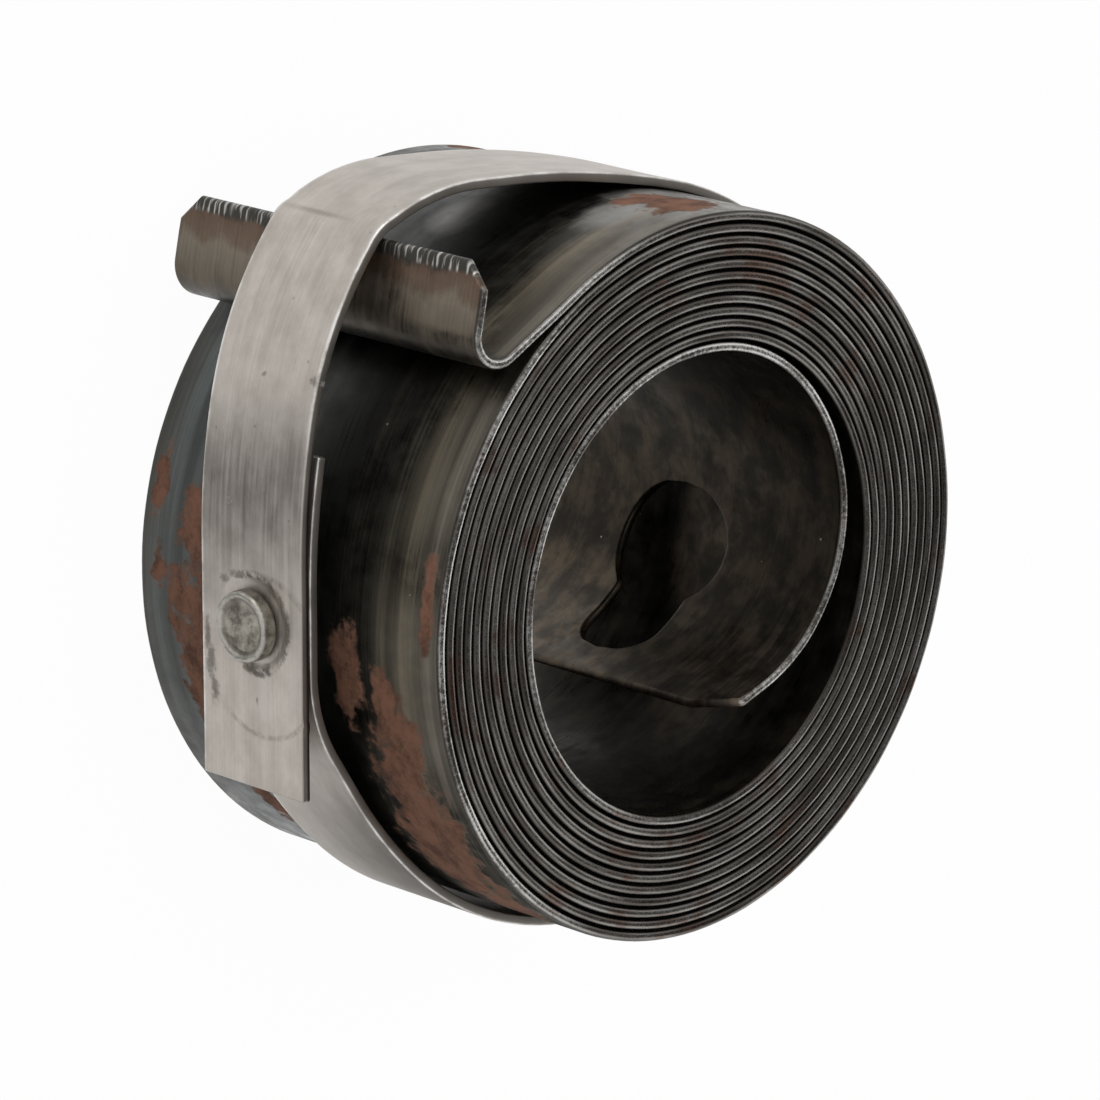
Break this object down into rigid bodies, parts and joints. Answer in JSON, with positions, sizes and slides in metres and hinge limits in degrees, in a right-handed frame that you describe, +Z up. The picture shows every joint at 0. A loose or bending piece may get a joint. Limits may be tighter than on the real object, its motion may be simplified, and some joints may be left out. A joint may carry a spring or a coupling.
{
  "type": "drill press return spring",
  "caption": "Flat steel strip wound into a spiral return spring, with a keyhole at its inner end, a bent hook at its outer end and a riveted aluminium strap that keeps it wound.",
  "frame": {"origin": "on the coil's axis, in the plane of the lower end face that it stands on", "axes": "+Z up along the coil's axis, +X away from the strap's riveted side, +Y towards the side on which the hook leaves the coil"},
  "size_m": [0.057, 0.0536, 0.03],
  "materials": {
    "spring_steel": "blackened and oiled, with spots of rust and bare edges",
    "strap_metal": "rolled, with fine lengthwise scratches",
    "rivet_metal": "dull, dented by the riveting tool"
  },
  "bodies": {
    "root": {"spiral_spring": "spring_steel", "inner_loop": "spring_steel", "retaining_strap": "strap_metal", "strap_rivet": "rivet_metal"}
  },
  "joints": []
}
